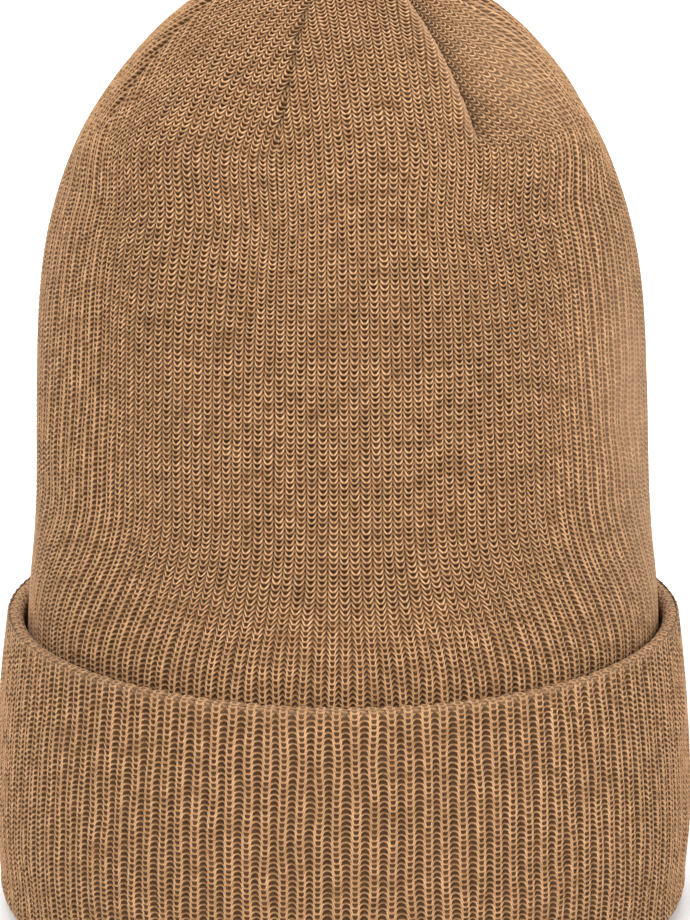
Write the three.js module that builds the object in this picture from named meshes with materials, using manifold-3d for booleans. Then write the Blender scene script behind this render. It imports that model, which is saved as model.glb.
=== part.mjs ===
// A cuffed knit beanie standing on its cuff, as an empty hat holds itself on a table.
// Millimetres, +Z up, front towards -Y, origin in the middle of the surface it stands on.
//
// The knit is one long tube pushed into itself: an outer wall and a lining. Six darts sewn with
// thread close each end, so above the darts' feet the wall is six gores. Outer wall and lining are
// one fabric where the tube turns back, which is the hem. The bottom is turned up into a cuff, so
// the cuff holds two more walls, with the hem along its top and the turned rim along its bottom.
// Every stretch of knit between two folds or seams is a mesh of its own.

import * as THREE from 'three';
import { mergeVertices } from 'three/addons/utils/BufferGeometryUtils.js';
import Module from 'manifold-3d';

const manifold = await Module();
manifold.setup();

// Driving dimensions

const HAT_HEIGHT = 221;
const CUFF_HEIGHT = 68;
const KNIT = 1.3; // thickness of one layer of knit
const GAP = 0.4; // between layers that lie on each other
const SEAM_GAP = 0.3; // between the edges of neighbouring panels

const CUFF_DEPTH_RATIO = 1.08; // depth over width of the oval at the cuff
const CROWN_DEPTH_RATIO = 0.93; // and at the crown, where the empty hat lies flatter
const OVAL_CHANGES_FROM = 50;
const OVAL_CHANGES_TO = 150;

const DARTS = 6;
const FIRST_DART = THREE.MathUtils.degToRad(-18); // from the front, towards +X, on an even tube
const DRAWN_FRONT = 0.077; // how far the knit is drawn together at the front,
const DRAWN_FRONT_AND_BACK = 0.1155; // and at front and back alike, which pulls the sides open
const LINING_TURN = THREE.MathUtils.degToRad(30); // lining darts lie between the outer ones
const DART_LENGTH = 70; // from the tip, along the knit
const DART_SLOT = 2.2; // between the edges of two gores
const SEAM_WIDTH = 1.5;
const SEAM_INSIDE = 1.5; // how far the sewn edges stand into the hat
const TACK_RADIUS = 6;
const TACK_THICKNESS = 2.2;

const RIM_HEIGHT = 8; // of the turned rim's two legs
const HEM_HEIGHT = 6;
const LINING_GAP_AT_CROWN = 3.3;

const LABEL = { width: 20, height: 30, thickness: 0.6, top: 104 };
const STITCH_HEIGHT = 1.2;
const LABEL_STANDS_OFF = 1.3; // from the lining's curve, behind the middle of the flat label

const AROUND = 40; // facets round the hat
const FOLD_STEPS = 5; // facets of a half-round fold, odd so that the lowest lies flat

const CAMEL = new THREE.Color('#b18a5e');
const CAMEL_DARK = new THREE.Color('#9a7549');
const LABEL_WHITE = new THREE.Color('#ece7dc');

// Half-widths of the outer wall and of the cuff's face, from the bottom up

const wallOutline = new THREE.SplineCurve([
  new THREE.Vector2(71.2, RIM_HEIGHT),
  new THREE.Vector2(71.2, 40),
  new THREE.Vector2(71.0, 70),
  new THREE.Vector2(69.6, 90),
  new THREE.Vector2(68.2, 120),
  new THREE.Vector2(66.0, 150),
  new THREE.Vector2(60.9, 170),
  new THREE.Vector2(53.0, 185),
  new THREE.Vector2(40.5, 200),
  new THREE.Vector2(26.4, 211),
  new THREE.Vector2(14.5, 217.8),
  new THREE.Vector2(6, 220.4),
  new THREE.Vector2(0, HAT_HEIGHT),
]);

const cuffOutline = new THREE.SplineCurve([
  new THREE.Vector2(78.4, RIM_HEIGHT),
  new THREE.Vector2(79.4, 24),
  new THREE.Vector2(78.2, 46),
  new THREE.Vector2(76.0, CUFF_HEIGHT - HEM_HEIGHT),
]);

// Lines in section

function shareAtHeight(curve, height) {
  let low = 0;
  let high = 1;
  for (let i = 0; i < 30; i += 1) {
    const middle = (low + high) / 2;
    if (curve.getPointAt(middle).y < height) low = middle;
    else high = middle;
  }
  return (low + high) / 2;
}

function inside(curve, share, inset) {
  const point = curve.getPointAt(share);
  const tangent = curve.getTangentAt(share);
  return point.sub(new THREE.Vector2(tangent.y, -tangent.x).multiplyScalar(inset));
}

// The closed outline of a layer of knit, from share `from` to share `to` of a curve.
function layerOutline(curve, from, to, steps, inset, thickness = KNIT) {
  const shares = Array.from({ length: steps + 1 }, (_, i) => from + ((to - from) * i) / steps);
  const face = shares.map((share) => inside(curve, share, inset(share)));
  const back = shares.map((share) => inside(curve, share, inset(share) + thickness));
  return [...face, ...back.reverse()];
}

// The closed outline of a fold between two upright legs: a half-round of knit that opens upwards
// when `turn` is 1 and downwards when it is -1.
function foldOutline(innerFace, outerFace, legEnd, foldEnd, turn) {
  const middle = (innerFace + outerFace) / 2;
  const radius = (outerFace - innerFace) / 2;
  const centre = foldEnd + turn * radius * Math.cos(Math.PI / (2 * FOLD_STEPS));
  const arc = (size) =>
    Array.from({ length: FOLD_STEPS + 1 }, (_, i) => {
      const angle = (Math.PI * i) / FOLD_STEPS;
      return new THREE.Vector2(
        middle - size * Math.cos(angle),
        centre - turn * size * Math.sin(angle),
      );
    });
  const outer = arc(radius);
  const inner = arc(radius - KNIT).reverse();
  return [
    new THREE.Vector2(innerFace, legEnd),
    ...outer,
    new THREE.Vector2(outerFace, legEnd),
    new THREE.Vector2(outerFace - KNIT, legEnd),
    ...inner,
    new THREE.Vector2(innerFace + KNIT, legEnd),
  ];
}

// Solids

function revolve(outline, closed = true) {
  const area = THREE.ShapeUtils.area(outline);
  const points = area > 0 ? outline : [...outline].reverse();
  const geometry = new THREE.LatheGeometry(closed ? [...points, points[0]] : points, AROUND);
  geometry.rotateX(Math.PI / 2);
  return geometry;
}

function depthRatio(height) {
  const share = THREE.MathUtils.smoothstep(height, OVAL_CHANGES_FROM, OVAL_CHANGES_TO);
  return THREE.MathUtils.lerp(CUFF_DEPTH_RATIO, CROWN_DEPTH_RATIO, share);
}

// Presses a round geometry into the hat's oval.
function makeOval(geometry) {
  const places = geometry.attributes.position;
  for (let i = 0; i < places.count; i += 1) {
    places.setY(i, places.getY(i) * depthRatio(places.getZ(i)));
  }
  return geometry;
}

function solidOf(geometry) {
  const plain = geometry.clone();
  plain.deleteAttribute('normal');
  plain.deleteAttribute('uv');
  const merged = mergeVertices(plain);
  return new manifold.Manifold(
    new manifold.Mesh({
      numProp: 3,
      vertProperties: Float32Array.from(merged.attributes.position.array),
      triVerts: Uint32Array.from(merged.index.array),
    }),
  );
}

function geometryOf(solid) {
  const { vertProperties, triVerts } = solid.getMesh();
  const geometry = new THREE.BufferGeometry();
  geometry.setAttribute('position', new THREE.BufferAttribute(vertProperties, 3));
  geometry.setIndex(new THREE.BufferAttribute(triVerts, 1));
  return geometry;
}

// Where a point at this angle would lie if the knit were spread evenly round the hat.
function evenAngle(angle) {
  return angle + DRAWN_FRONT * Math.sin(angle) + DRAWN_FRONT_AND_BACK * Math.sin(2 * angle);
}

function dartAngle(index, turn) {
  const even = FIRST_DART + turn + (2 * Math.PI * index) / DARTS;
  let angle = even;
  for (let i = 0; i < 30; i += 1) angle -= 0.8 * (evenAngle(angle) - even);
  return angle;
}

// The upright prism between two darts: half a slot away from each, and clear of the tack.
function goreWedge(index, turn) {
  const reach = 2 * HAT_HEIGHT;
  const hole = TACK_RADIUS + SEAM_GAP;
  const start = dartAngle(index, turn) - Math.PI / 2;
  const end = dartAngle(index + 1, turn) - Math.PI / 2;
  const narrower = (radius) => Math.asin(DART_SLOT / 2 / radius);
  const shape = new THREE.Shape();
  shape.absarc(0, 0, hole, end - narrower(hole), start + narrower(hole), true);
  shape.absarc(0, 0, reach, start + narrower(reach), end - narrower(reach), false);
  const geometry = new THREE.ExtrudeGeometry(shape, {
    depth: HAT_HEIGHT,
    bevelEnabled: false,
    curveSegments: 4,
  });
  return geometry.translate(0, 0, HAT_HEIGHT / 2);
}

// The upright slab in which one dart is sewn.
function seamSlab(index, turn) {
  const start = TACK_RADIUS + SEAM_GAP;
  const geometry = new THREE.BoxGeometry(SEAM_WIDTH, HAT_HEIGHT, HAT_HEIGHT);
  geometry.translate(0, -HAT_HEIGHT / 2 - start, HAT_HEIGHT);
  return geometry.rotateZ(dartAngle(index, turn));
}

function cutFrom(dome, cutter) {
  return makeOval(geometryOf(solidOf(dome).intersect(solidOf(cutter))));
}

// Sub-parts

const hat = new THREE.Group();

function add(name, geometry, color, roughness) {
  const material = new THREE.MeshStandardMaterial({ color, roughness, metalness: 0 });
  const mesh = new THREE.Mesh(geometry, material);
  mesh.name = name;
  hat.add(mesh);
}

const addKnit = (name, geometry) => add(name, geometry, CAMEL, 0.95);
const addThread = (name, geometry) => add(name, geometry, CAMEL_DARK, 0.85);

// One wall of the hat, closed by darts: a tube, six gores, six sewn seams and the tack that draws
// their ends together. `inset` is the wall's depth below the outline; `seam` is where its sewn
// edges start and how thick they are.
function addWall(names, inset, seam, turn) {
  const length = wallOutline.getLength();
  const foot = 1 - DART_LENGTH / length;
  const halfGap = SEAM_GAP / 2 / length;
  const nearTip = 1 - TACK_RADIUS / 2 / length;

  addKnit(names.tube, makeOval(revolve(layerOutline(wallOutline, 0, foot - halfGap, 9, inset))));

  const dome = revolve(layerOutline(wallOutline, foot + halfGap, nearTip, 6, inset));
  const sewn = revolve(
    layerOutline(wallOutline, foot + halfGap, nearTip, 6, seam.inset, seam.thickness),
  );
  for (let i = 0; i < DARTS; i += 1) {
    addKnit(`${names.gore}_${i + 1}`, cutFrom(dome, goreWedge(i, turn)));
    addThread(`${names.seam}_${i + 1}`, cutFrom(sewn, seamSlab(i, turn)));
  }

  const top = HAT_HEIGHT - inset(1);
  const tackOutline = [
    new THREE.Vector2(0, top - TACK_THICKNESS),
    new THREE.Vector2(TACK_RADIUS * 0.8, top - TACK_THICKNESS),
    new THREE.Vector2(TACK_RADIUS, top - TACK_THICKNESS / 2),
    new THREE.Vector2(TACK_RADIUS * 0.7, top - 0.5),
    new THREE.Vector2(0, top),
  ];
  addThread(names.tack, makeOval(revolve(tackOutline, false)));
}

const shellInset = () => 0;
const shellSeam = { inset: () => 0.2, thickness: KNIT + SEAM_INSIDE - 0.2 };

const liningInset = (share) =>
  KNIT + THREE.MathUtils.lerp(GAP, LINING_GAP_AT_CROWN, THREE.MathUtils.smoothstep(share, 0.4, 0.8));
const liningSeam = {
  inset: (share) => liningInset(share) - 1.2,
  thickness: KNIT + 1,
};

addWall(
  { tube: 'shell_tube', gore: 'crown_gore', seam: 'dart_seam', tack: 'crown_tack' },
  shellInset,
  shellSeam,
  0,
);
addWall(
  { tube: 'lining_tube', gore: 'lining_gore', seam: 'lining_seam', tack: 'lining_tack' },
  liningInset,
  liningSeam,
  LINING_TURN,
);

// The cuff: its face and back, joined at the top by the hem and at the bottom by the turned rim,
// which leads the lining round to the face and the outer wall round to the back.
const cuffEnd = 1 - SEAM_GAP / cuffOutline.getLength();
const faceInset = () => 0;
const backInset = () => KNIT + GAP;
addKnit('cuff_face', makeOval(revolve(layerOutline(cuffOutline, 0, cuffEnd, 4, faceInset))));
addKnit('cuff_back', makeOval(revolve(layerOutline(cuffOutline, 0, cuffEnd, 4, backInset))));

const hemFace = cuffOutline.getPointAt(1).x;
const hemDepth = 2 * KNIT + GAP;
const hemLegs = CUFF_HEIGHT - HEM_HEIGHT;
addKnit(
  'hem_fold',
  makeOval(revolve(foldOutline(hemFace - hemDepth, hemFace, hemLegs, CUFF_HEIGHT, -1))),
);

const rimFace = cuffOutline.getPointAt(0).x;
const rimLegs = RIM_HEIGHT - SEAM_GAP;
const liningBack = wallOutline.getPointAt(0).x - 2 * KNIT - GAP;
const rimNest = KNIT + GAP;
addKnit('rim_fold_face', makeOval(revolve(foldOutline(liningBack, rimFace, rimLegs, 0, 1))));
addKnit(
  'rim_fold_back',
  makeOval(revolve(foldOutline(liningBack + rimNest, rimFace - rimNest, rimLegs, rimNest, 1))),
);

// The blank care label hangs inside the lining at the back from a bar of stitches.
const stitchFoot = LABEL.top + SEAM_GAP;
const stitchShare = shareAtHeight(wallOutline, stitchFoot + STITCH_HEIGHT);
const liningFace = inside(wallOutline, stitchShare, liningInset(stitchShare) + KNIT);
const labelDepth = liningFace.x * depthRatio(liningFace.y) - LABEL_STANDS_OFF;
const stitch = new THREE.BoxGeometry(LABEL.width, LABEL.thickness, STITCH_HEIGHT);
stitch.translate(0, labelDepth, stitchFoot + STITCH_HEIGHT / 2);
addThread('label_stitch', stitch);
const label = new THREE.BoxGeometry(LABEL.width, LABEL.thickness, LABEL.height);
label.translate(0, labelDepth, LABEL.top - LABEL.height / 2);
add('care_label', label, LABEL_WHITE, 0.6);

export default hat;
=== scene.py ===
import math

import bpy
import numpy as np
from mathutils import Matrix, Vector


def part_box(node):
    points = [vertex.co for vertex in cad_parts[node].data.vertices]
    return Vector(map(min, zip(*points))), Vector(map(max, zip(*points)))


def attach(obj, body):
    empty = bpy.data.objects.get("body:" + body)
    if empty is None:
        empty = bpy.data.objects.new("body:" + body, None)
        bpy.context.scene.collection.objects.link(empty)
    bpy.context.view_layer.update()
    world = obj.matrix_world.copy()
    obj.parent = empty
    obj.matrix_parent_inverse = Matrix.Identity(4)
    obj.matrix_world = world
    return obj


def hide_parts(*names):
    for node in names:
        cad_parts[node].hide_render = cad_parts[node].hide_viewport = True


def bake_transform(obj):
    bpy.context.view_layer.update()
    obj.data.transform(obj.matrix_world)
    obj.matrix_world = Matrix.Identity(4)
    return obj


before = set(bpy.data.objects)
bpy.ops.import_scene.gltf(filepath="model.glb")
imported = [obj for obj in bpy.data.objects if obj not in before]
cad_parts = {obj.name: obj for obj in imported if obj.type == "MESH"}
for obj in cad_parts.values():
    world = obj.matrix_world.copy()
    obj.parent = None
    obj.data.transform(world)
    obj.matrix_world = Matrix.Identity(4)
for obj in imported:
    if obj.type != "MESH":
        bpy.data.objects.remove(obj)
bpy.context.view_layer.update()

# A cuffed beanie of fine 1x1 rib, knitted as one tube and closed by six darts.
# The knit is built stitch by stitch as relief on curved sheets. A point of the knit is known by its
# rib number and its course number; both go into the UV map, where the material draws the yarn.
# Lengths here are millimetres, with Z up and the front towards -Y, and become metres in the meshes.

MM = 0.001

# The hat

HAT_HEIGHT = 221.0
CUFF_HEIGHT = 68.0
KNIT = 1.3  # thickness of one layer
CUFF_RATIO = 1.08  # depth over width of the oval at the cuff
CROWN_RATIO = 0.93
OVAL_CHANGES = (50.0, 150.0)
LEAN = (0.35, -0.35)  # sideways, at the cuff and at the tip
RIM_TOP = 8.0  # where the fold along the rim ends

# Radius and height of points in section
WALL_OUTLINE = [
    (71.2, RIM_TOP), (71.2, 40.0), (71.0, 70.0), (69.6, 90.0), (68.2, 120.0), (66.0, 150.0),
    (60.9, 170.0), (53.0, 185.0), (40.5, 200.0), (26.4, 211.0), (14.5, 217.8), (6.0, 220.4),
    (0.0, 221.0),
]
CUFF_TOP_RADIUS = 76.0
CUFF_FACE = [(78.2, 46.0), (79.4, 24.0), (78.4, RIM_TOP)]
CUFF_BACK = [(73.0, 65.0), (73.0, 62.0), (75.2, 46.0), (76.4, 24.0), (75.4, RIM_TOP)]

# The knit

DARTS = 6
RIBS_PER_GORE = 21
RIBS = DARTS * RIBS_PER_GORE
RIBS_PER_RADIAN = RIBS / (2 * math.pi)
FIRST_DART = math.radians(-18.0)  # on an even tube, from the front towards +X
LINING_TURN = math.radians(30.0)
DART_LENGTH = 70.0  # along the knit, from the tip
DRAWN = (0.14, 0.21, -0.02)  # how far ribs are drawn together: once, twice and four times round
DRAWN_AT_FOOT = 0.55  # share of that at the darts' feet
DRAWN_AT_HEM = 0.35
FULLY_DRAWN_FROM = 105.0  # height
DRAWN_EASES = (166.0, 184.0)  # heights, towards the darts' feet
COURSE = 1.2  # height of one course
CUFF_COURSE = 1.24
CLOSED_PITCH = 2.4  # of a rib whose purl wales are hidden
OPEN_PITCH = 3.3  # of a rib that is spread open
YARN = 0.31  # radius

COLUMNS_PER_RIB = 8
ROWS_PER_COURSE = 4


# Small maths

def lerp(a, b, share):
    return a + (b - a) * share


def smoothstep(value, low, high):
    share = np.clip((value - low) / (high - low), 0.0, 1.0)
    return share * share * (3.0 - 2.0 * share)


def bell(distance, width):
    return np.exp(-((distance / width) ** 2))


def wave_noise(u, v, seed, waves=7):
    """Smooth, repeatable unevenness from -1 to 1, periodic once round the hat. u is in radians."""
    random = np.random.default_rng(seed)
    total = np.zeros(np.broadcast(u, v).shape)
    for _ in range(waves):
        turns = random.integers(1, 9)
        climb = random.uniform(-0.09, 0.09)
        total += np.sin(turns * u + climb * v + random.uniform(0, 2 * math.pi))
    return total / math.sqrt(waves)


def curve_between(a, b, c, d, t):
    """Points on a smooth curve from b to c that runs on to a and d; t goes from 0 to 1."""
    straight = 2 * b + (c - a) * t
    bend = (2 * a - 5 * b + 4 * c - d) * t**2
    turn = (3 * b - a - 3 * c + d) * t**3
    return 0.5 * (straight + bend + turn)


class Outline:
    """A smooth line through points in section, measured along its own length."""

    def __init__(self, points, steps=40):
        knots = np.array(points, float)
        before = 2 * knots[0] - knots[1]
        after = 2 * knots[-1] - knots[-2]
        p = np.vstack([before, knots, after])
        t = np.linspace(0, 1, steps, endpoint=False)[:, None]
        pieces = []
        for i in range(len(knots) - 1):
            pieces.append(curve_between(*p[i : i + 4], t))
        self.line = np.vstack([*pieces, knots[-1:]])
        gaps = np.linalg.norm(np.diff(self.line, axis=0), axis=1)
        self.marks = np.concatenate([[0.0], np.cumsum(gaps)])
        self.length = self.marks[-1]

    def at(self, length):
        radius = np.interp(length, self.marks, self.line[:, 0])
        height = np.interp(length, self.marks, self.line[:, 1])
        return radius, height


# Where the knit lies

def depth_ratio(height):
    return lerp(CUFF_RATIO, CROWN_RATIO, smoothstep(height, *OVAL_CHANGES))


def place(azimuth, radius, height):
    """A point of the hat's oval: azimuth from the front towards +X, radius as half the width."""
    lean = lerp(LEAN[0], LEAN[1], smoothstep(height, CUFF_HEIGHT, HAT_HEIGHT))
    x = radius * np.sin(azimuth) + lean
    y = -radius * np.cos(azimuth) * depth_ratio(height)
    return np.stack([x, y, height + 0 * azimuth], axis=-1)


def drawn_share(height):
    """How much of DRAWN the ribs show at a height: none at the rim, all of it half way up."""
    low = DRAWN_AT_HEM * smoothstep(height, RIM_TOP, CUFF_HEIGHT)
    middle = lerp(low, 1.0, smoothstep(height, CUFF_HEIGHT, FULLY_DRAWN_FROM))
    return lerp(middle, DRAWN_AT_FOOT, smoothstep(height, *DRAWN_EASES))


def drawn(azimuth):
    """How far a rib at this azimuth is moved from where an even tube would have it, in radians."""
    once, twice, four = DRAWN
    return once * np.sin(azimuth) + twice * np.sin(2 * azimuth) + four * np.sin(4 * azimuth)


SOLVER_STEPS = 24
SOLVER_PACE = 0.7  # below 1, so that each step settles


def azimuth_at(rib, height):
    """The azimuth of a rib at a height, where azimuth + share * drawn(azimuth) spreads evenly."""
    even = rib / RIBS_PER_RADIAN + FIRST_DART
    share = drawn_share(height)
    azimuth = even
    for _ in range(SOLVER_STEPS):
        azimuth = azimuth - SOLVER_PACE * (azimuth + share * drawn(azimuth) - even)
    return azimuth


NOISE_ROWS = 256


def stitch_noise(rib, course, seed, courses_apart):
    """Unevenness from -1 to 1 that belongs to single wales: a smooth mix between random knots."""
    table = np.random.default_rng(seed).uniform(-1, 1, (RIBS, NOISE_ROWS))
    across = rib - 0.5
    along = course / courses_apart
    left = np.floor(across).astype(int)
    low = np.floor(along).astype(int)
    u = smoothstep(across - left, 0.0, 1.0)
    v = smoothstep(along - low, 0.0, 1.0)

    def corner(i, j):
        return table[(left + i) % RIBS, (low + j) % NOISE_ROWS]

    return lerp(lerp(corner(0, 0), corner(1, 0), u), lerp(corner(0, 1), corner(1, 1), u), v)


SWAY_COURSES = 7.0  # how slowly a wale sways sideways along its courses
LOOP_COURSES = 3.0
LOOP_UNEVENNESS = 0.16  # in courses


def make_uneven(stitch_rib, course, rib, seed, sideways):
    """Moves the stitches a little off their places, by up to `sideways` ribs across."""
    moved_rib = stitch_rib + sideways * stitch_noise(rib, course, seed, SWAY_COURSES)
    moved_course = course + LOOP_UNEVENNESS * stitch_noise(rib, course, seed + 1, LOOP_COURSES)
    return moved_rib, moved_course


# The relief of the stitches. Each course is one wave of yarn: low in the middle of a knit wale,
# up along the wale's two legs, and high behind it, where the purl wale opens when it is stretched.

CLOSED_LOOP = 1.2  # height of the wave, in courses
CLOSED_POWER = 2.1  # the higher, the rounder the loop's corners
OPEN_LOOP = 1.75
LEG = (0.11, 0.30)  # where a leg of an open loop starts and ends, in ribs from the wale's middle
LEG_SHARE = 0.7  # of the open wave's height; the rest is the round of its bottom and top
CLOSED_VALLEY = 0.75  # depth between the wales, in millimetres
CLOSED_VALLEY_POWER = 6
OPEN_VALLEY = 0.6
OPEN_VALLEY_SIDE = (0.2, 0.45)  # ribs from the wale's middle
TAUT_FLATTENS = 0.55  # share of the relief that is gone where the knit is pulled smooth


def stitch_relief(rib, course, pitch):
    """Height of the knit over its ground, in millimetres, at a rib and course number."""
    across = np.abs(rib - np.floor(rib) - 0.5)
    opened = smoothstep(pitch, CLOSED_PITCH, OPEN_PITCH)
    amplitude = lerp(CLOSED_LOOP, OPEN_LOOP, opened)
    open_wave = LEG_SHARE * smoothstep(across, *LEG) + (1 - LEG_SHARE) * np.sin(np.pi * across) ** 2
    wave = amplitude * lerp((2 * across) ** CLOSED_POWER, open_wave, opened)
    share = np.clip((across - LEG[0]) / (LEG[1] - LEG[0]), 0, 1)
    open_slope = LEG_SHARE * 6 * share * (1 - share) / (LEG[1] - LEG[0])
    open_slope = open_slope + (1 - LEG_SHARE) * np.pi * np.sin(2 * np.pi * across)
    closed_slope = 2 * CLOSED_POWER * (2 * across) ** (CLOSED_POWER - 1)
    tilt = amplitude * lerp(closed_slope, open_slope, opened) * COURSE / pitch
    loop = course - wave
    distance = np.abs(loop - np.floor(loop) - 0.5) * COURSE / np.sqrt(1 + tilt**2)
    yarn = np.sqrt(np.clip(1 - (distance / YARN) ** 2, 0, 1))
    closed_valley = -CLOSED_VALLEY * (2 * across) ** CLOSED_VALLEY_POWER
    open_valley = -OPEN_VALLEY * smoothstep(across, *OPEN_VALLEY_SIDE)
    return lerp(closed_valley, open_valley, opened) + YARN * yarn


# Meshes

def new_object(name, points, faces):
    """A smooth-shaded mesh of points in millimetres and faces with equally many corners."""
    mesh = bpy.data.meshes.new(name)
    mesh.vertices.add(len(points))
    mesh.vertices.foreach_set("co", (np.asarray(points, np.float32) * MM).ravel())
    faces = np.asarray(faces, np.int32)
    mesh.loops.add(faces.size)
    mesh.loops.foreach_set("vertex_index", faces.ravel())
    mesh.polygons.add(len(faces))
    sides = faces.shape[1]
    mesh.polygons.foreach_set("loop_start", np.arange(0, faces.size, sides, dtype=np.int32))
    mesh.polygons.foreach_set("loop_total", np.full(len(faces), sides, np.int32))
    mesh.update(calc_edges=True)
    mesh.polygons.foreach_set("use_smooth", np.ones(len(faces), bool))
    obj = bpy.data.objects.new(name, mesh)
    bpy.context.scene.collection.objects.link(obj)
    return obj


def grid_faces(rows, columns, flip=False):
    """The squares of an open grid."""
    number = np.arange(rows * columns).reshape(rows, columns)
    corners = [number[:-1, :-1], number[:-1, 1:], number[1:, 1:], number[1:, :-1]]
    if flip:
        corners.reverse()
    return np.stack(corners, axis=-1).reshape(-1, 4)


def ring_corners(rows, sides):
    """The corners of the squares of a grid that closes on itself: here, beside, beside on the next
    row, and here on the next row."""
    number = np.arange(rows * sides).reshape(rows, sides)
    after = np.roll(number, -1, axis=1)
    return number[:-1], after[:-1], after[1:], number[1:]


def steps_across(ground):
    """Distance from column to column of a grid of points."""
    return np.linalg.norm(np.gradient(ground, axis=1), axis=-1)


def grid_normals(ground):
    along_rows = np.gradient(ground, axis=0)
    along_columns = np.gradient(ground, axis=1)
    normal = np.cross(along_columns, along_rows)
    size = np.linalg.norm(normal, axis=-1, keepdims=True)
    return normal / np.maximum(size, 1e-9)


def knit_sheet(name, ground, rib, course, pitch, taut_and_sheen, sewn_in=0.0, sunk_shade=0.0, flip=False):
    """A sheet of knit: `ground` is a grid of points, and each has its rib and course number.
    Of the three masks, the first is 1 where the knit is stretched smooth and painted pale, partly as
    painted sheen; sewn_in is 1 where it lies in a seam; and the last is 1 where it is tucked in, out
    of the light, and painted with shade."""
    height = stitch_relief(rib, course, pitch) * (1 - TAUT_FLATTENS * taut_and_sheen) * (1 - sewn_in)
    side = -1.0 if flip else 1.0
    points = ground + side * grid_normals(ground) * height[..., None]
    rows, columns = rib.shape
    faces = grid_faces(rows, columns, flip)
    obj = new_object(name, points.reshape(-1, 3), faces)
    mesh = obj.data
    corner = faces.ravel()
    uv = np.stack([rib.ravel()[corner], course.ravel()[corner]], axis=-1).astype(np.float32)
    mesh.uv_layers.new(name="stitches").data.foreach_set("uv", uv.ravel())
    for label, values in (("pitch", pitch), ("taut_and_sheen", taut_and_sheen), ("sunk_shade", sunk_shade + 0 * rib)):
        attribute = mesh.attributes.new(label, "FLOAT", "POINT")
        attribute.data.foreach_set("value", values.ravel().astype(np.float32))
    return obj


# The outer wall and its darts

GATHERED_DARTS = (1,)  # sewn with more knit on one side than on the other
GATHER_BAND = (9.0, 42.0)  # beside a gathered dart, where its pull starts to fade and is gone
RIBS_GATHERED = 0.19  # more ribs sewn in on its right, for a millimetre up the dart
GATHER_REACH = 30.0  # up the dart
COURSES_TILTED = 4.5
TILT_STARTS = 7.0  # distance from the dart
TILT_GROWS = 26.0  # up the dart

CORNER_SOFTNESS = 18.0  # how gently a gore's ribs turn in above the darts' feet
COURSE_BEND = 0.85  # how strongly courses curve over a gore
BEND_STARTS = 45.0  # below the darts' feet
BEND_IS_FULL = 5.0  # above them
WALL_SWAY = 0.10  # in ribs
TIP_GAP = 3.0  # left open under the tack
SEWN_HALF_WIDTH = 0.55

# Ridges beside the darts: height, distance from the seam, width. A negative height is a trough.
TROUGH = -2.0
RIGHT_OF_GATHERED = [(0.5, 12.0, 6.0), (TROUGH, 0.0, 6.0)]
LEFT_OF_GATHERED = [(1.6, 2.4, 3.2)]
BESIDE_NEAT = [(0.6, 3.0, 3.0)]
GATHERED_DEPTH = 2.6  # of the seam
NEAT_DEPTH = 0.8
SEAM_HALF_WIDTH = 0.9
RIDGES_GROW = 10.0  # up the dart
SHADE_GROWS = 6.0

DENTS = [  # azimuth in degrees and height of the middle, size both ways, depth
    (-68, 97, 9, 9, 1.0),
    (66, 118, 8, 7, 1.0),
    (-30, 90, 30, 18, 0.5),
    (150, 120, 20, 20, 1.0),
    (-120, 140, 16, 14, 0.9),
]
TAUT_AND_SHEEN = [  # the same, and how strongly pulled, for places where the knit is pulled smooth; at the hat's sides their pale colour is also painted sheen
    (72, 124, 17, 30, 0.85),
    (88, 80, 18, 24, 0.75),
    (-88, 78, 14, 18, 0.65),
    (-88, 130, 12, 30, 0.4),
    (58, 196, 22, 14, 0.5),
]

WALL = Outline(WALL_OUTLINE)
WALL_FOOT = WALL.length - DART_LENGTH


def narrowed_ribs(gore, rib, above):
    """Rib numbers over a gore. Above the darts' feet the outer ones run into the seams."""
    centre = (gore + 0.5) * RIBS_PER_GORE
    aside = (rib - centre) / (RIBS_PER_GORE / 2)  # -1 and 1 at the gore's two darts
    softness = CORNER_SOFTNESS * (1 - np.abs(aside))
    narrowing = (above + np.sqrt(above**2 + softness**2)) / 2
    foot_radius, _ = WALL.at(WALL_FOOT)
    narrow_radius, _ = WALL.at(WALL_FOOT + np.maximum(narrowing, 0))
    return centre + (rib - centre) * narrow_radius / foot_radius


def bent_courses(gore, rib, length):
    """Course numbers over a gore. They grow towards its darts, so that courses dip there."""
    centre = (gore + 0.5) * RIBS_PER_GORE
    bend_angle = (rib - centre) / RIBS_PER_RADIAN * COURSE_BEND
    to_tip = WALL.length - length
    fade = 1 - smoothstep(to_tip, DART_LENGTH - BEND_IS_FULL, DART_LENGTH + BEND_STARTS)
    bend = np.minimum(to_tip, DART_LENGTH) * (1 - np.cos(bend_angle)) * fade
    return (length + bend) / COURSE


def wall_ground(gore, rib_numbers, lengths):
    """Grid of one gore of the outer wall, from the rim up: columns follow the ribs below the
    darts' feet, rows the length along the knit. Gives what knit_sheet needs."""
    rib, length = np.meshgrid(rib_numbers, lengths)
    above = length - WALL_FOOT
    sewn = np.maximum(above, 0.0)
    radius, height = WALL.at(length)
    azimuth = azimuth_at(rib, height)
    stitch_rib = narrowed_ribs(gore, rib, above)
    course = bent_courses(gore, rib, length)
    stitch_rib, course = turn_beside_darts(gore, radius, sewn, rib, stitch_rib, course)
    relief = dart_relief(gore, radius, sewn, rib)
    ground = place(azimuth, radius + relief + form_relief(azimuth, height), height)
    rib_step = np.maximum(np.abs(np.gradient(stitch_rib, axis=1)), 1e-4)
    pitch = np.where(above > 0, foot_pitch(rib), steps_across(ground) / rib_step)
    stitch_rib, course = make_uneven(stitch_rib, course, rib, 11, WALL_SWAY)
    sewn_in = bell(to_edge(gore, rib, radius), SEWN_HALF_WIDTH) * smoothstep(above, 0.0, 2.0)
    pulled_and_highlit, sunk_shade = dart_edges(gore, radius, sewn, rib)
    taut_and_sheen = np.clip(tautness_and_sheen(azimuth, height) + pulled_and_highlit, 0, 1)
    return ground, stitch_rib, course, pitch, taut_and_sheen, sewn_in, sunk_shade


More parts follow.
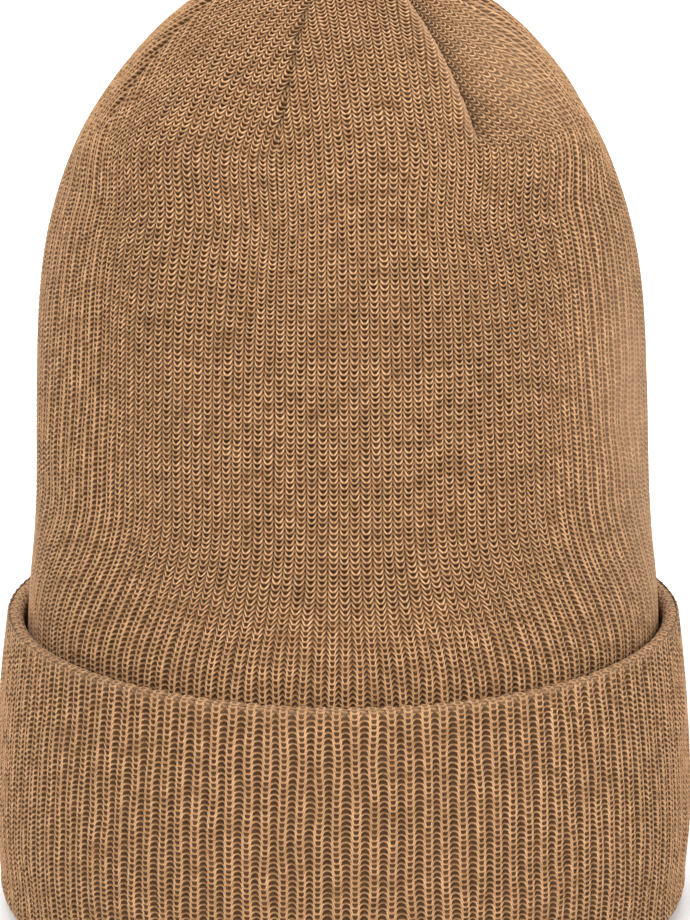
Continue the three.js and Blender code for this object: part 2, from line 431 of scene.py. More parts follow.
def to_edge(gore, rib, radius):
    """Distance to the nearer of the gore's two darts."""
    ribs_away = np.minimum(rib - gore * RIBS_PER_GORE, (gore + 1) * RIBS_PER_GORE - rib)
    return ribs_away / RIBS_PER_RADIAN * radius


def foot_pitch(rib):
    """Width of one rib at the darts' feet. Above them it stays the same."""
    radius, height = WALL.at(WALL_FOOT)
    azimuth = azimuth_at(rib, height)
    return steps_across(place(azimuth, radius, height)) / np.gradient(rib, axis=1)


def beside_dart(gore, side, rib, radius):
    """Distance from the dart on the gore's left (-1) or right (1) side, and if it is gathered."""
    edge = (gore + 0.5 + side / 2) * RIBS_PER_GORE
    dart = (gore + (side + 1) // 2) % DARTS
    return np.abs(rib - edge) / RIBS_PER_RADIAN * radius, dart in GATHERED_DARTS


def turn_beside_darts(gore, radius, sewn, rib, stitch_rib, course):
    """Right of a gathered dart more ribs run into the seam than left of it: they turn towards it
    in a narrow band, and beyond the band the knit is stretched wide."""
    beside, gathered = beside_dart(gore, -1, rib, radius)
    if not gathered:
        return stitch_rib, course
    wide = 1 - smoothstep(beside, *GATHER_BAND)
    more = RIBS_GATHERED * GATHER_REACH * np.tanh(sewn / GATHER_REACH) * wide
    tilt = (1 - np.exp(-beside / TILT_STARTS)) * wide * smoothstep(sewn, 0.0, TILT_GROWS)
    return stitch_rib + more, course - COURSES_TILTED * tilt


def ridges(places, beside):
    return sum(high * bell(beside - away, wide) for high, away, wide in places)


def dart_relief(gore, radius, sewn, rib):
    """How the knit sinks and stands beside the sewn darts, in millimetres. At the seam itself both
    sides are equally deep, so that their edges meet."""
    relief = np.zeros_like(rib)
    for side in (-1, 1):
        beside, gathered = beside_dart(gore, side, rib, radius)
        if gathered and side == -1:
            places = RIGHT_OF_GATHERED
            at_seam = TROUGH
        elif gathered:
            places = LEFT_OF_GATHERED
            at_seam = ridges(places, 0.0)
        else:
            places = BESIDE_NEAT
            at_seam = ridges(places, 0.0)
        depth = GATHERED_DEPTH if gathered else NEAT_DEPTH
        seam = (at_seam + depth) * bell(beside, SEAM_HALF_WIDTH)
        relief = relief + ridges(places, beside) - seam
    return relief * smoothstep(sewn, 0.0, RIDGES_GROW)


def dart_edges(gore, radius, sewn, rib):
    """How smooth and pale the knit is stretched beside its darts, partly as a painted highlight on
    the raised edge, and how much painted shade it gets where it is tucked in, from 0 to 1.
    """
    pulled_and_highlit = np.zeros_like(rib)
    sunk_shade = np.zeros_like(rib)
    # painted shade in the trough and the folds beside the darts, where the knit is out of the light
    for side in (-1, 1):
        beside, gathered = beside_dart(gore, side, rib, radius)
        if gathered and side == -1:
            sunk_shade = sunk_shade + 0.75 * bell(beside, 5.0) + 0.25 * bell(beside, 0.7)
        elif gathered:
            sunk_shade = sunk_shade + 0.9 * bell(beside, 0.45)
            pulled_and_highlit = pulled_and_highlit + 0.8 * bell(beside - 1.8, 1.3)
        else:
            sunk_shade = sunk_shade + 0.45 * bell(beside, 1.0)
    grown = smoothstep(sewn, 0.0, SHADE_GROWS)
    return pulled_and_highlit * grown, np.clip(sunk_shade * grown, 0, 1)


def spots(places, azimuth, height):
    """The sum of soft round spots, each with its place, size and strength."""
    total = np.zeros(np.broadcast(azimuth, height).shape)
    for angle, level, wide, high, strength in places:
        turn = np.angle(np.exp(1j * (azimuth - math.radians(angle))))
        total = total + strength * bell(turn, math.radians(wide)) * bell(height - level, high)
    return total


def form_relief(azimuth, height):
    """The hat's own unevenness: a slow wobble and a few soft dents, in millimetres."""
    wobble = 0.35 * smoothstep(height, 20.0, CUFF_HEIGHT) + 0.05
    return wobble * wave_noise(azimuth, height, 5) - spots(DENTS, azimuth, height)


def tautness_and_sheen(azimuth, height):
    """How smooth the knit is stretched by the hat's own shape, from 0 to 1. At the hat's sides the
    pale colour that this brings is partly painted sheen.
    """
    return np.clip(spots(TAUT_AND_SHEEN, azimuth, height), 0, 1)


def wall_rows(start, end):
    """Lengths along the knit from start to end, with a few rows of the mesh for each course."""
    count = int(round((end - start) / COURSE * ROWS_PER_COURSE))
    return np.linspace(start, end, count + 1)


def make_wall():
    """Pairs of a wall panel and the crown panel above it."""
    made = []
    columns = RIBS_PER_GORE * COLUMNS_PER_RIB
    for gore in range(DARTS):
        ribs = gore * RIBS_PER_GORE + np.linspace(0, RIBS_PER_GORE, columns + 1)
        wall = wall_ground(gore, ribs, wall_rows(0.0, WALL_FOOT))
        crown = wall_ground(gore, ribs, wall_rows(WALL_FOOT, WALL.length - TIP_GAP))
        wall = knit_sheet(f"wall_panel_{gore + 1}", *wall)
        crown = knit_sheet(f"crown_panel_{gore + 1}", *crown)
        made.append((wall, crown))
    return made


# The cuff and the rim

CUFF_PARTS = 3
HEM_LENGTH = 10.0  # along the knit
RIM_LENGTH = 20.0
HEM_RADIUS = 1.75
HEM_START = math.pi * 1.1  # where the hem's round starts, next to the wall
RIM_RADIUS = 5.1  # of the fold along the rim
RIM_INNER_RADIUS = 2.1
RIM_END_RADIUS = 68.2  # where the fold meets the lining
CUFF_WOBBLE = 0.4  # share of the hat's unevenness that shows on the cuff
CUFF_SWAY = 0.09  # in ribs
HEM_TAUT = 0.5
HEM_TAUT_FADES = (5.0, 9.0)  # along the knit


def arc(centre, radius, start, stop, count):
    turns = np.linspace(start, stop, count)
    return [(centre[0] + radius * math.cos(t), centre[1] + radius * math.sin(t)) for t in turns]


def cuff_path():
    """The cuff's face in section, from the hem's inner edge over its top down and round the rim."""
    hem_centre = (CUFF_TOP_RADIUS - HEM_RADIUS, CUFF_HEIGHT - HEM_RADIUS)
    hem = arc(hem_centre, HEM_RADIUS, HEM_START, 0, 8)
    rim_centre = (CUFF_FACE[-1][0] - RIM_RADIUS, RIM_RADIUS)
    rim = arc(rim_centre, RIM_RADIUS, 0, -math.pi, 9)
    return Outline([*hem, *CUFF_FACE, *rim, (RIM_END_RADIUS, RIM_TOP)])


def inner_rim_path():
    """The inside of the fold along the rim, from the cuff's back round to the wall."""
    centre = (73.3, RIM_RADIUS)
    fold = arc(centre, RIM_INNER_RADIUS, 0, -math.pi, 7)
    return Outline([CUFF_BACK[-1], *fold, WALL_OUTLINE[0]])


CUFF_LINE = cuff_path()


def cuff_ground(rib_numbers, lengths, line):
    """Grid of a part of the cuff, along a line in section. Gives what knit_sheet needs."""
    rib, length = np.meshgrid(rib_numbers, lengths)
    radius, height = line.at(length)
    azimuth = rib / RIBS_PER_RADIAN + FIRST_DART
    ground = place(azimuth, radius + CUFF_WOBBLE * form_relief(azimuth, height), height)
    course = -length / CUFF_COURSE
    pitch = steps_across(ground) / np.gradient(rib, axis=1)
    rib = rib + 0.5
    stitch_rib, course = make_uneven(rib, course, rib, 21, CUFF_SWAY)
    taut_and_sheen = HEM_TAUT * (1 - smoothstep(length, *HEM_TAUT_FADES))
    return ground, stitch_rib, course, pitch, taut_and_sheen


def make_cuff():
    """The hem, the cuff's face in parts, the rim, and the hidden layers of cuff and rim."""
    part_ribs = RIBS // CUFF_PARTS
    ribs = np.linspace(0, part_ribs, part_ribs * COLUMNS_PER_RIB + 1)
    all_ribs = np.linspace(0, RIBS, RIBS * COLUMNS_PER_RIB // 2 + 1)
    face_end = CUFF_LINE.length - RIM_LENGTH
    hem = cuff_ground(all_ribs, wall_rows(0, HEM_LENGTH), CUFF_LINE)
    hem = knit_sheet("hem_roll", *hem, flip=True)
    rim = cuff_ground(all_ribs, wall_rows(face_end, CUFF_LINE.length), CUFF_LINE)
    rim = knit_sheet("rim_roll", *rim, flip=True)
    faces = []
    for part in range(CUFF_PARTS):
        face = cuff_ground(ribs + part * part_ribs, wall_rows(HEM_LENGTH, face_end), CUFF_LINE)
        faces.append(knit_sheet(f"cuff_panel_{part + 1}", *face, flip=True))
    back_line = Outline(CUFF_BACK)
    back = cuff_ground(all_ribs, wall_rows(0, back_line.length)[::2], back_line)
    back = knit_sheet("cuff_inside", *back)
    rim_line = inner_rim_path()
    rim_back = cuff_ground(all_ribs, wall_rows(0, rim_line.length), rim_line)
    rim_back = knit_sheet("rim_inside", *rim_back)
    return hem, faces, rim, back, rim_back


# The lining, seen from inside the hat

LABEL_BED = [(180, 92, 14, 24, 0.9)]  # behind the label the lining gives way; as in DENTS
LINING_GAP = (0.4, 3.3)  # between wall and lining, at the rim and at the crown
LINING_GAP_GROWS = (0.4, 0.8)  # shares of the way up
LINING_RIBS = LINING_TURN * RIBS_PER_RADIAN  # how far its darts are turned from the wall's
LINING_SLACK = 0.25
LINING_SEAM = 0.9  # how far the lining is drawn outwards at its seams
LINING_SEAM_WIDTH = 1.2
LINING_SEWN_HALF_WIDTH = 0.6
LINING_UNEVENNESS = 0.12  # in courses
LINING_TIP_GAP = 4.0


def wall_inset(length, inset):
    """A point of the wall's outline moved inwards, square to the outline."""
    radius, height = WALL.at(length)
    ahead_radius, ahead_height = WALL.at(length + 0.5)
    behind_radius, behind_height = WALL.at(length - 0.5)
    run = ahead_radius - behind_radius
    rise = ahead_height - behind_height
    size = np.sqrt(run**2 + rise**2)
    return radius - inset * rise / size, height + inset * run / size


def lining_depth(length):
    """How far the lining lies inside the wall's outline."""
    share = length / WALL.length
    return 2 * KNIT + lerp(*LINING_GAP, smoothstep(share, *LINING_GAP_GROWS))


def lining_ground(gore, rib_numbers, lengths):
    """Grid of one gore of the lining, from the rim to the crown. Gives what knit_sheet needs."""
    rib, length = np.meshgrid(rib_numbers, lengths)
    centre = (gore + 0.5) * RIBS_PER_GORE
    above = np.maximum(length - WALL_FOOT, 0.0)
    foot_radius, _ = WALL.at(WALL_FOOT)
    narrow_radius, _ = WALL.at(WALL_FOOT + above)
    stitch_rib = centre + (rib - centre) * narrow_radius / foot_radius
    radius, height = wall_inset(length, lining_depth(length))
    azimuth = azimuth_at(rib + LINING_RIBS, height)
    edge = to_edge(gore, rib, radius)
    seam = LINING_SEAM * bell(edge, LINING_SEAM_WIDTH) * smoothstep(above, 0.0, 8.0)
    slack = LINING_SLACK * wave_noise(azimuth, height, 31) * smoothstep(height, RIM_TOP, 30.0)
    slack = slack + spots(LABEL_BED, azimuth, height)
    ground = place(azimuth, np.maximum(radius + seam + slack, 0.1), height)
    pitch = steps_across(ground) / np.maximum(np.gradient(stitch_rib, axis=1), 1e-4)
    course = length / COURSE
    course = course + LINING_UNEVENNESS * stitch_noise(rib, course, 32, LOOP_COURSES)
    sewn_in = bell(edge, LINING_SEWN_HALF_WIDTH) * smoothstep(above, 0.0, 2.0)
    return ground, stitch_rib, course, pitch, 0 * rib, sewn_in


def make_lining():
    ribs = np.linspace(0, RIBS_PER_GORE, RIBS_PER_GORE * COLUMNS_PER_RIB // 2 + 1)
    rows = wall_rows(0.0, WALL.length - LINING_TIP_GAP)[::2]
    made = []
    for gore in range(DARTS):
        sheet = lining_ground(gore, ribs + gore * RIBS_PER_GORE, rows)
        made.append(knit_sheet(f"lining_panel_{gore + 1}", *sheet, flip=True))
    return made


# Sewing: the darts' seams, the tacks and the label with its stitches

SEAM_STITCH = 2.6  # length of one stitch of a seam
SEAM_WIDTH = 0.7  # half of the whole, as are the next two
SEAM_DEPTH = 0.9
LINING_SEAM_DEPTH = 0.8
SEAM_INSET = 3.2  # from the wall's outline
LINING_SEAM_RAISED = 2.0  # from the lining towards the wall
SEAM_ENDS = (0.6, 6.6)  # above the dart's foot, and short of the tip
SEAM_POINTS = 260
THREAD = 0.16  # radius
TACK_RADIUS = 6.2
TACK_THICKNESS = 2.2
TACK_FOLDS = 18
TACK_TURNS = (0.2, 1.3, 2.4)  # of the threads over the tack, in radians
TACK_THREAD = 2.9  # half the length of such a thread


def rounded_tube(path, size_across, size_deep, sides=10, relief=None):
    """A tube along a path in space. Its first side lies along the hat's outward direction."""
    path = np.asarray(path, float)
    along = np.gradient(path, axis=0)
    along /= np.linalg.norm(along, axis=1, keepdims=True)
    out = path * (1.0, 1.0, 0.0) + (0.0, 0.0, 1e-3)
    out -= along * np.sum(out * along, axis=1, keepdims=True)
    out /= np.linalg.norm(out, axis=1, keepdims=True)
    across = np.cross(along, out)
    angle = np.linspace(0, 2 * math.pi, sides, endpoint=False)[None, :]
    swell = np.ones((len(path), sides)) if relief is None else relief(angle)
    ends = np.sqrt(np.clip(1 - np.linspace(-1, 1, len(path)) ** 16, 0.02, 1))[:, None]
    deep = (size_deep * swell * ends * np.cos(angle))[..., None]
    wide = (size_across * swell * ends * np.sin(angle))[..., None]
    points = path[:, None] + deep * out[:, None] + wide * across[:, None]
    faces = np.stack(ring_corners(len(path), sides), axis=-1)
    return points.reshape(-1, 3), faces.reshape(-1, 4)


def join_tubes(name, tubes):
    points = []
    faces = []
    count = 0
    for tube_points, tube_faces in tubes:
        points.append(tube_points)
        faces.append(tube_faces + count)
        count += len(tube_points)
    return new_object(name, np.vstack(points), np.vstack(faces))


def seam_line(dart, in_lining):
    """The line of one dart, from its foot to just short of the tack."""
    length = np.linspace(WALL_FOOT + SEAM_ENDS[0], WALL.length - SEAM_ENDS[1], SEAM_POINTS)
    inset = lining_depth(length) - LINING_SEAM_RAISED if in_lining else SEAM_INSET
    radius, height = wall_inset(length, inset)
    turned = LINING_RIBS if in_lining else 0.0
    azimuth = azimuth_at(dart * RIBS_PER_GORE + turned, height)
    return length, place(azimuth, radius, height)


def make_seam(name, dart, in_lining):
    """The two sewn edges rolled together, with the sewing thread wound round them."""
    length, path = seam_line(dart, in_lining)
    turns = 2 * math.pi * length / SEAM_STITCH

    def wound(angle):
        return 0.86 + 0.1 * np.cos(angle - turns[:, None]) ** 8

    depth = LINING_SEAM_DEPTH if in_lining else SEAM_DEPTH
    return new_object(name, *rounded_tube(path, SEAM_WIDTH, depth, sides=14, relief=wound))


def tack_folds(top, out, seed):
    """The gathered folds of knit, as points and faces."""
    turns = np.linspace(0, 2 * math.pi, 145)[:-1]
    share, angle = np.meshgrid(np.linspace(0, 1, 41), turns, indexing="ij")
    over = np.sin(math.pi * share)
    radius = TACK_RADIUS * over ** 0.8 * (1 + 0.05 * np.cos(TACK_FOLDS * angle))
    crest = np.abs(np.cos(TACK_FOLDS / 2 * angle + 0.3 * np.sin(3 * angle + seed))) ** 0.6
    folds = 0.75 * bell(radius / TACK_RADIUS - 0.5, 0.35) * crest
    good_side = 0.35 + folds - 0.9 * bell(radius, 1.0)
    level = np.where(share < 0.5, good_side, -TACK_THICKNESS + 0.3)
    level = lerp(level, -0.6, smoothstep(over, 0.8, 1.0))
    x = radius * np.sin(angle)
    y = -radius * np.cos(angle) * CROWN_RATIO
    points = np.stack([x, y, top + out * level], axis=-1)
    here, beside, beside_next, next_row = ring_corners(*share.shape)
    corners = [here, next_row, beside_next, beside]
    if out < 0:
        corners.reverse()
    return points.reshape(-1, 3), np.stack(corners, axis=-1).reshape(-1, 4)


def make_tack(name, top, out, seed):
    """The gathered middle of a crown: folds of knit drawn in by a thread. `out` is 1 where its
    good side is up and -1 where it is down."""
    tubes = [tack_folds(top, out, seed)]
    for turn in TACK_TURNS:
        reach = np.linspace(-1, 1, 25)
        rise = top + out * (0.15 + 0.75 * np.sqrt(1 - reach**2 * 0.96))
        x = TACK_THREAD * reach * math.cos(turn)
        y = TACK_THREAD * reach * math.sin(turn)
        line = np.stack([x, y, rise], axis=-1)
        tubes.append(rounded_tube(line + (0.0, 1e-4, 0.0), THREAD, THREAD))
    return join_tubes(name, tubes)


def make_sewing():
    """Each piece of thread work with the CAD node that it stands for."""
    made = []
    for dart in range(DARTS):
        outer = make_seam(f"dart_stitching_{dart + 1}", dart, False)
        inner = make_seam(f"lining_stitching_{dart + 1}", dart, True)
        made.append((outer, f"dart_seam_{dart + 1}"))
        made.append((inner, f"lining_seam_{dart + 1}"))
    made.append((make_tack("crown_rosette", HAT_HEIGHT - 0.2, 1, 1.0), "crown_tack"))
    lining_top = HAT_HEIGHT - KNIT - LINING_GAP[1] - 1.6
    made.append((make_tack("lining_rosette", lining_top, -1, 4.0), "lining_tack"))
    return made


def middle_of(node):
    """The low corner, high corner and middle of a CAD node, in millimetres."""
    low, high = (np.array(corner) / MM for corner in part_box(node))
    return low, high, (low + high) / 2


PLY = 0.2  # half the distance between the folded tape's two layers
LABEL_STITCHES = 9
LABEL_THREAD = 0.2  # radius
LABEL_STITCH_STARTS = 0.14  # share of its pitch, as is the next
LABEL_STITCH_LENGTH = 0.72
LABEL_STITCH_SUNK = 0.25
LABEL_STITCH_ARCH = 0.62


def label_section(middle, top, bottom):
    """The tape in section, down at the front, round its fold and up at the back."""
    fold = np.linspace(0, math.pi, 7)
    down = [(middle - PLY, z) for z in np.linspace(top, bottom, 90)]
    turn = [(middle - PLY * math.cos(t), bottom - PLY * math.sin(t)) for t in fold[1:-1]]
    up = [(middle + PLY, z) for z in np.linspace(bottom, top, 90)]
    return np.array([*down, *turn, *up])


def make_label():
    """A blank tape folded in two. Its cut ends are at the top, under the stitches."""
    low, high, middle = middle_of("care_label")
    top = high[2]
    bottom = low[2] + PLY
    line = label_section(middle[1], top, bottom)
    across = np.linspace(low[0], high[0], 61)
    x, y = np.meshgrid(across, line[:, 0])
    _, z = np.meshgrid(across, line[:, 1])
    below = (top - z) / (top - bottom)
    curl = 0.35 * below * np.cos(math.pi * x / 26) + 0.12 * below * np.sin(0.35 * x + 0.15 * z)
    woven_edge = 0.05 * bell(np.abs(x) - 9.6, 0.5)
    clear_of_stitches = 0.3 * smoothstep(below, 0.0, 0.2)
    points = np.stack([x, y - curl - woven_edge - clear_of_stitches, z], axis=-1)
    return new_object("tape_label", points.reshape(-1, 3), grid_faces(*x.shape, flip=True))


def make_label_stitches():
    """A row of hand-length stitches over the label's sewn-down top."""
    low, high, middle = middle_of("label_stitch")
    pitch = (high[0] - low[0]) / LABEL_STITCHES
    tubes = []
    for index in range(LABEL_STITCHES):
        start = low[0] + pitch * (index + LABEL_STITCH_STARTS)
        share = np.linspace(0, 1, 17)
        x = start + LABEL_STITCH_LENGTH * pitch * share
        arch = LABEL_STITCH_ARCH * np.sin(math.pi * share) ** 0.5
        y = middle[1] + LABEL_STITCH_SUNK - arch
        z = middle[2] + 0.15 * np.sin(2.1 * index) + 0.12 * (share - 0.5)
        line = np.stack([x, y, z], axis=-1)
        tubes.append(rounded_tube(line, LABEL_THREAD, LABEL_THREAD, sides=8))
    return join_tubes("label_stitching", tubes)


def make_label_header():
    """The tape's sewn-down top, an open flattened tube under the stitches."""
    low, high, middle = middle_of("label_stitch")
    across = np.linspace(low[0], high[0], 41)
    x, turn = np.meshgrid(across, np.linspace(0, 2 * math.pi, 25))

    def rounded(wave):
        return np.sign(wave) * np.abs(wave) ** 0.5

    y = middle[1] + 0.22 * rounded(np.cos(turn)) + 0.1
    z = middle[2] + 0.6 * rounded(np.sin(turn))
    points = np.stack([x, y, z], axis=-1)
    return new_object("tape_header", points.reshape(-1, 3), grid_faces(*x.shape))


# Materials

class Nodes:
    """Short names for the nodes of one material."""

    def __init__(self, name):
        self.material = bpy.data.materials.new(name)
        self.material.use_nodes = True
        self.tree = self.material.node_tree
        self.shader = self.tree.nodes["Principled BSDF"]

    def add(self, kind, **settings):
        node = self.tree.nodes.new(kind)
        for key, value in settings.items():
            setattr(node, key, value)
        return node

    def plug(self, value, socket):
        """Links an output to the socket, or sets the socket to a plain value."""
        if isinstance(value, bpy.types.NodeSocket):
            self.tree.links.new(value, socket)
        else:
            socket.default_value = value

    def math(self, operation, *values, clamp=False):
        node = self.add("ShaderNodeMath", operation=operation, use_clamp=clamp)
        for value, socket in zip(values, node.inputs):
            self.plug(value, socket)
        return node.outputs[0]

    def plus(self, a, b, clamp=False):
        return self.math("ADD", a, b, clamp=clamp)

    def minus(self, a, b, clamp=False):
        return self.math("SUBTRACT", a, b, clamp=clamp)

    def times(self, a, b, clamp=False):
        return self.math("MULTIPLY", a, b, clamp=clamp)

    def smooth(self, value, low, high):
        node = self.add("ShaderNodeMapRange", interpolation_type="SMOOTHSTEP")
        for item, socket in zip((value, low, high, 0.0, 1.0), node.inputs):
            self.plug(item, socket)
        return node.outputs[0]

    def mix(self, share, a, b):
        node = self.add("ShaderNodeMix", data_type="FLOAT")
        self.plug(share, node.inputs["Factor"])
        self.plug(a, node.inputs["A"])
        self.plug(b, node.inputs["B"])
        return node.outputs["Result"]

    def mix_colour(self, share, a, b):
        node = self.add("ShaderNodeMix", data_type="RGBA")
        self.plug(share, node.inputs["Factor"])
        self.plug(a, node.inputs[6])
        self.plug(b, node.inputs[7])
        return node.outputs[2]

    def attribute(self, name):
        return self.add("ShaderNodeAttribute", attribute_name=name).outputs["Fac"]

    def bump(self, height, strength, distance):
        node = self.add("ShaderNodeBump")
        node.inputs["Strength"].default_value = strength
        node.inputs["Distance"].default_value = distance
        self.plug(height, node.inputs["Height"])
        self.plug(node.outputs[0], self.shader.inputs["Normal"])

    def finish(self, roughness, specular):
        self.shader.inputs["Roughness"].default_value = roughness
        self.shader.inputs["Specular IOR Level"].default_value = specular


def yarn_distance(n, rib, course, pitch):
    """The same wave of yarn as in stitch_relief. Gives the distance across the wale in ribs, how
    far the rib is opened, the loop's number, and the distance from the yarn in yarn radii."""
    across = n.math("ABSOLUTE", n.minus(n.math("FRACT", rib), 0.5))
    opened = n.smooth(pitch, CLOSED_PITCH, OPEN_PITCH)
    amplitude = n.mix(opened, CLOSED_LOOP, OPEN_LOOP)
    twice = n.times(across, 2.0)
    closed_wave = n.math("POWER", twice, CLOSED_POWER)
    turn = n.times(across, math.pi)
    sine = n.math("SINE", turn)
    round_part = n.times(n.times(sine, sine), 1 - LEG_SHARE)
    open_wave = n.plus(n.times(n.smooth(across, *LEG), LEG_SHARE), round_part)
    wave = n.times(amplitude, n.mix(opened, closed_wave, open_wave))
    leg = LEG[1] - LEG[0]
    share = n.times(n.minus(across, LEG[0]), 1 / leg, clamp=True)
    hump = n.times(share, n.minus(1.0, share))
    double_sine = n.math("SINE", n.times(turn, 2.0))
    round_slope = n.times(double_sine, (1 - LEG_SHARE) * math.pi)
    open_slope = n.plus(n.times(hump, LEG_SHARE * 6 / leg), round_slope)
    closed_slope = n.times(n.math("POWER", twice, CLOSED_POWER - 1), 2 * CLOSED_POWER)
    slope = n.times(amplitude, n.mix(opened, closed_slope, open_slope))
    tilt = n.math("DIVIDE", n.times(slope, COURSE), pitch)
    stretch = n.math("SQRT", n.plus(n.times(tilt, tilt), 1.0))
    loop = n.minus(course, wave)
    off = n.math("ABSOLUTE", n.minus(n.math("FRACT", loop), 0.5))
    distance = n.math("DIVIDE", n.times(off, COURSE / YARN), stretch)
    return across, opened, loop, distance


def stitch_random(n, rib, loop, shift):
    """A random number for each stitch."""
    cell = n.add("ShaderNodeCombineXYZ")
    n.plug(n.math("FLOOR", rib), cell.inputs[0])
    n.plug(n.plus(n.math("FLOOR", loop), shift), cell.inputs[1])
    noise = n.add("ShaderNodeTexWhiteNoise", noise_dimensions="2D")
    n.plug(cell.outputs[0], noise.inputs["Vector"])
    return noise.outputs[0]


def noise(n, scale, detail=2.0, stretch=None):
    """Soft noise over the object, from 0 to 1."""
    texture = n.add("ShaderNodeTexNoise", noise_dimensions="3D")
    vector = n.add("ShaderNodeTexCoord").outputs["Object"]
    if stretch:
        mapping = n.add("ShaderNodeMapping")
        mapping.inputs["Scale"].default_value = stretch
        n.plug(vector, mapping.inputs["Vector"])
        vector = mapping.outputs[0]
    n.plug(vector, texture.inputs["Vector"])
    texture.inputs["Scale"].default_value = scale
    texture.inputs["Detail"].default_value = detail
    return texture.outputs[0]


LOOP_END_HIGHLIGHT = 0.5  # painted highlight: how strong it is on a loop at its ends, next to its legs
PAINTED_PURL_SHADE = 0.4  # painted shade: how much the highlight dims on the purl wales, which lie behind where a rib is spread open
STITCH_SHARE = 0.55  # of the painted highlight's strength, from each stitch's own; the rest is from lint
HIGHLIGHT_VARIES = 0.7  # share of the painted highlight that varies
# Painted shade in the holes between loops and in the valleys between wales: how much it varies from
# stitch to stitch, and how deep it is.
HOLE_SHADE_VARIES = 0.3
VALLEY_PAINTED_SHADE = 0.85
OPEN_VALLEY_PAINTED_SHADE = 0.3
NOTCH = 0.55  # how much the painted shade between two wales is deepest between two loops
SEEN_EVEN = 0.16  # how far open ribs fade into their colour from far off
SMOOTH_AND_SHEEN_SHARE = 0.6  # how far pulled knit takes the pale smooth colour, which is partly painted sheen
BAND_DARK = 0.10  # of faint bands up and down the hat


def painted_yarn_highlight(n, rib, loop, across, opened, distance):
    """A painted highlight on the yarn, where it would catch the light: most on its back and on the
    loops' legs, less on its flanks, and a little different for each stitch."""
    bright = n.times(stitch_random(n, rib, loop, 0.0), STITCH_SHARE)
    lint = n.smooth(noise(n, 300.0), 0.3, 0.7)
    bright = n.plus(bright, n.times(lint, 1 - STITCH_SHARE))
    back = n.minus(1.0, n.smooth(distance, 0.0, 0.86))
    # painted shade on the purl wales, which lie behind the knit wales of an open rib
    behind = n.times(n.times(n.smooth(across, 0.3, 0.45), opened), PAINTED_PURL_SHADE)
    back = n.times(back, n.minus(1.0, behind))
    past_leg = n.minus(1.0, n.smooth(across, 0.34, 0.47))
    leg = n.times(n.smooth(across, 0.03, 0.2), past_leg)
    # painted highlight on the middle of the purl arcs, where a rib is spread open
    purl_arc_highlight = n.times(n.smooth(across, 0.38, 0.48), opened)
    leg = n.plus(leg, purl_arc_highlight, clamp=True)
    highlight_along_loop = n.plus(n.times(leg, 1 - LOOP_END_HIGHLIGHT), LOOP_END_HIGHLIGHT)
    back = n.times(back, highlight_along_loop)
    strength = n.plus(n.times(bright, HIGHLIGHT_VARIES), 1 - HIGHLIGHT_VARIES)
    return n.times(back, strength)


def unshaded_yarn(n, rib, course, loop, across, opened, distance):
    """1 on the yarn, less where shade is painted: in the gaps between the loops and in the valleys
    between the wales.
    """
    depth = n.times(stitch_random(n, rib, loop, 37.0), HOLE_SHADE_VARIES)
    depth = n.plus(depth, 1 - HOLE_SHADE_VARIES)
    hole_shade = n.times(n.smooth(distance, 0.62, 1.25), depth)
    step = n.math("ABSOLUTE", n.minus(n.math("FRACT", course), 0.5))
    notch = n.plus(n.times(n.smooth(step, 0.08, 0.4), NOTCH), 1 - NOTCH)
    closed_valley = n.times(n.smooth(across, 0.33, 0.48), notch)
    open_valley = n.times(n.smooth(across, 0.2, 0.42), OPEN_VALLEY_PAINTED_SHADE)
    valley_shade = n.times(n.mix(opened, closed_valley, open_valley), VALLEY_PAINTED_SHADE)
    return n.times(n.minus(1.0, hole_shade), n.minus(1.0, valley_shade))


def yarn_bump(n, distance):
    """The round of the yarn and its plies, as fine relief."""
    square = n.times(distance, distance)
    round_yarn = n.math("SQRT", n.minus(1.0, square, clamp=True))
    ply = n.times(noise(n, 1500.0, 1.0, (1.0, 1.0, 2.2)), 0.22)
    height = n.plus(n.times(round_yarn, YARN), ply)
    n.bump(height, strength=0.7, distance=MM)


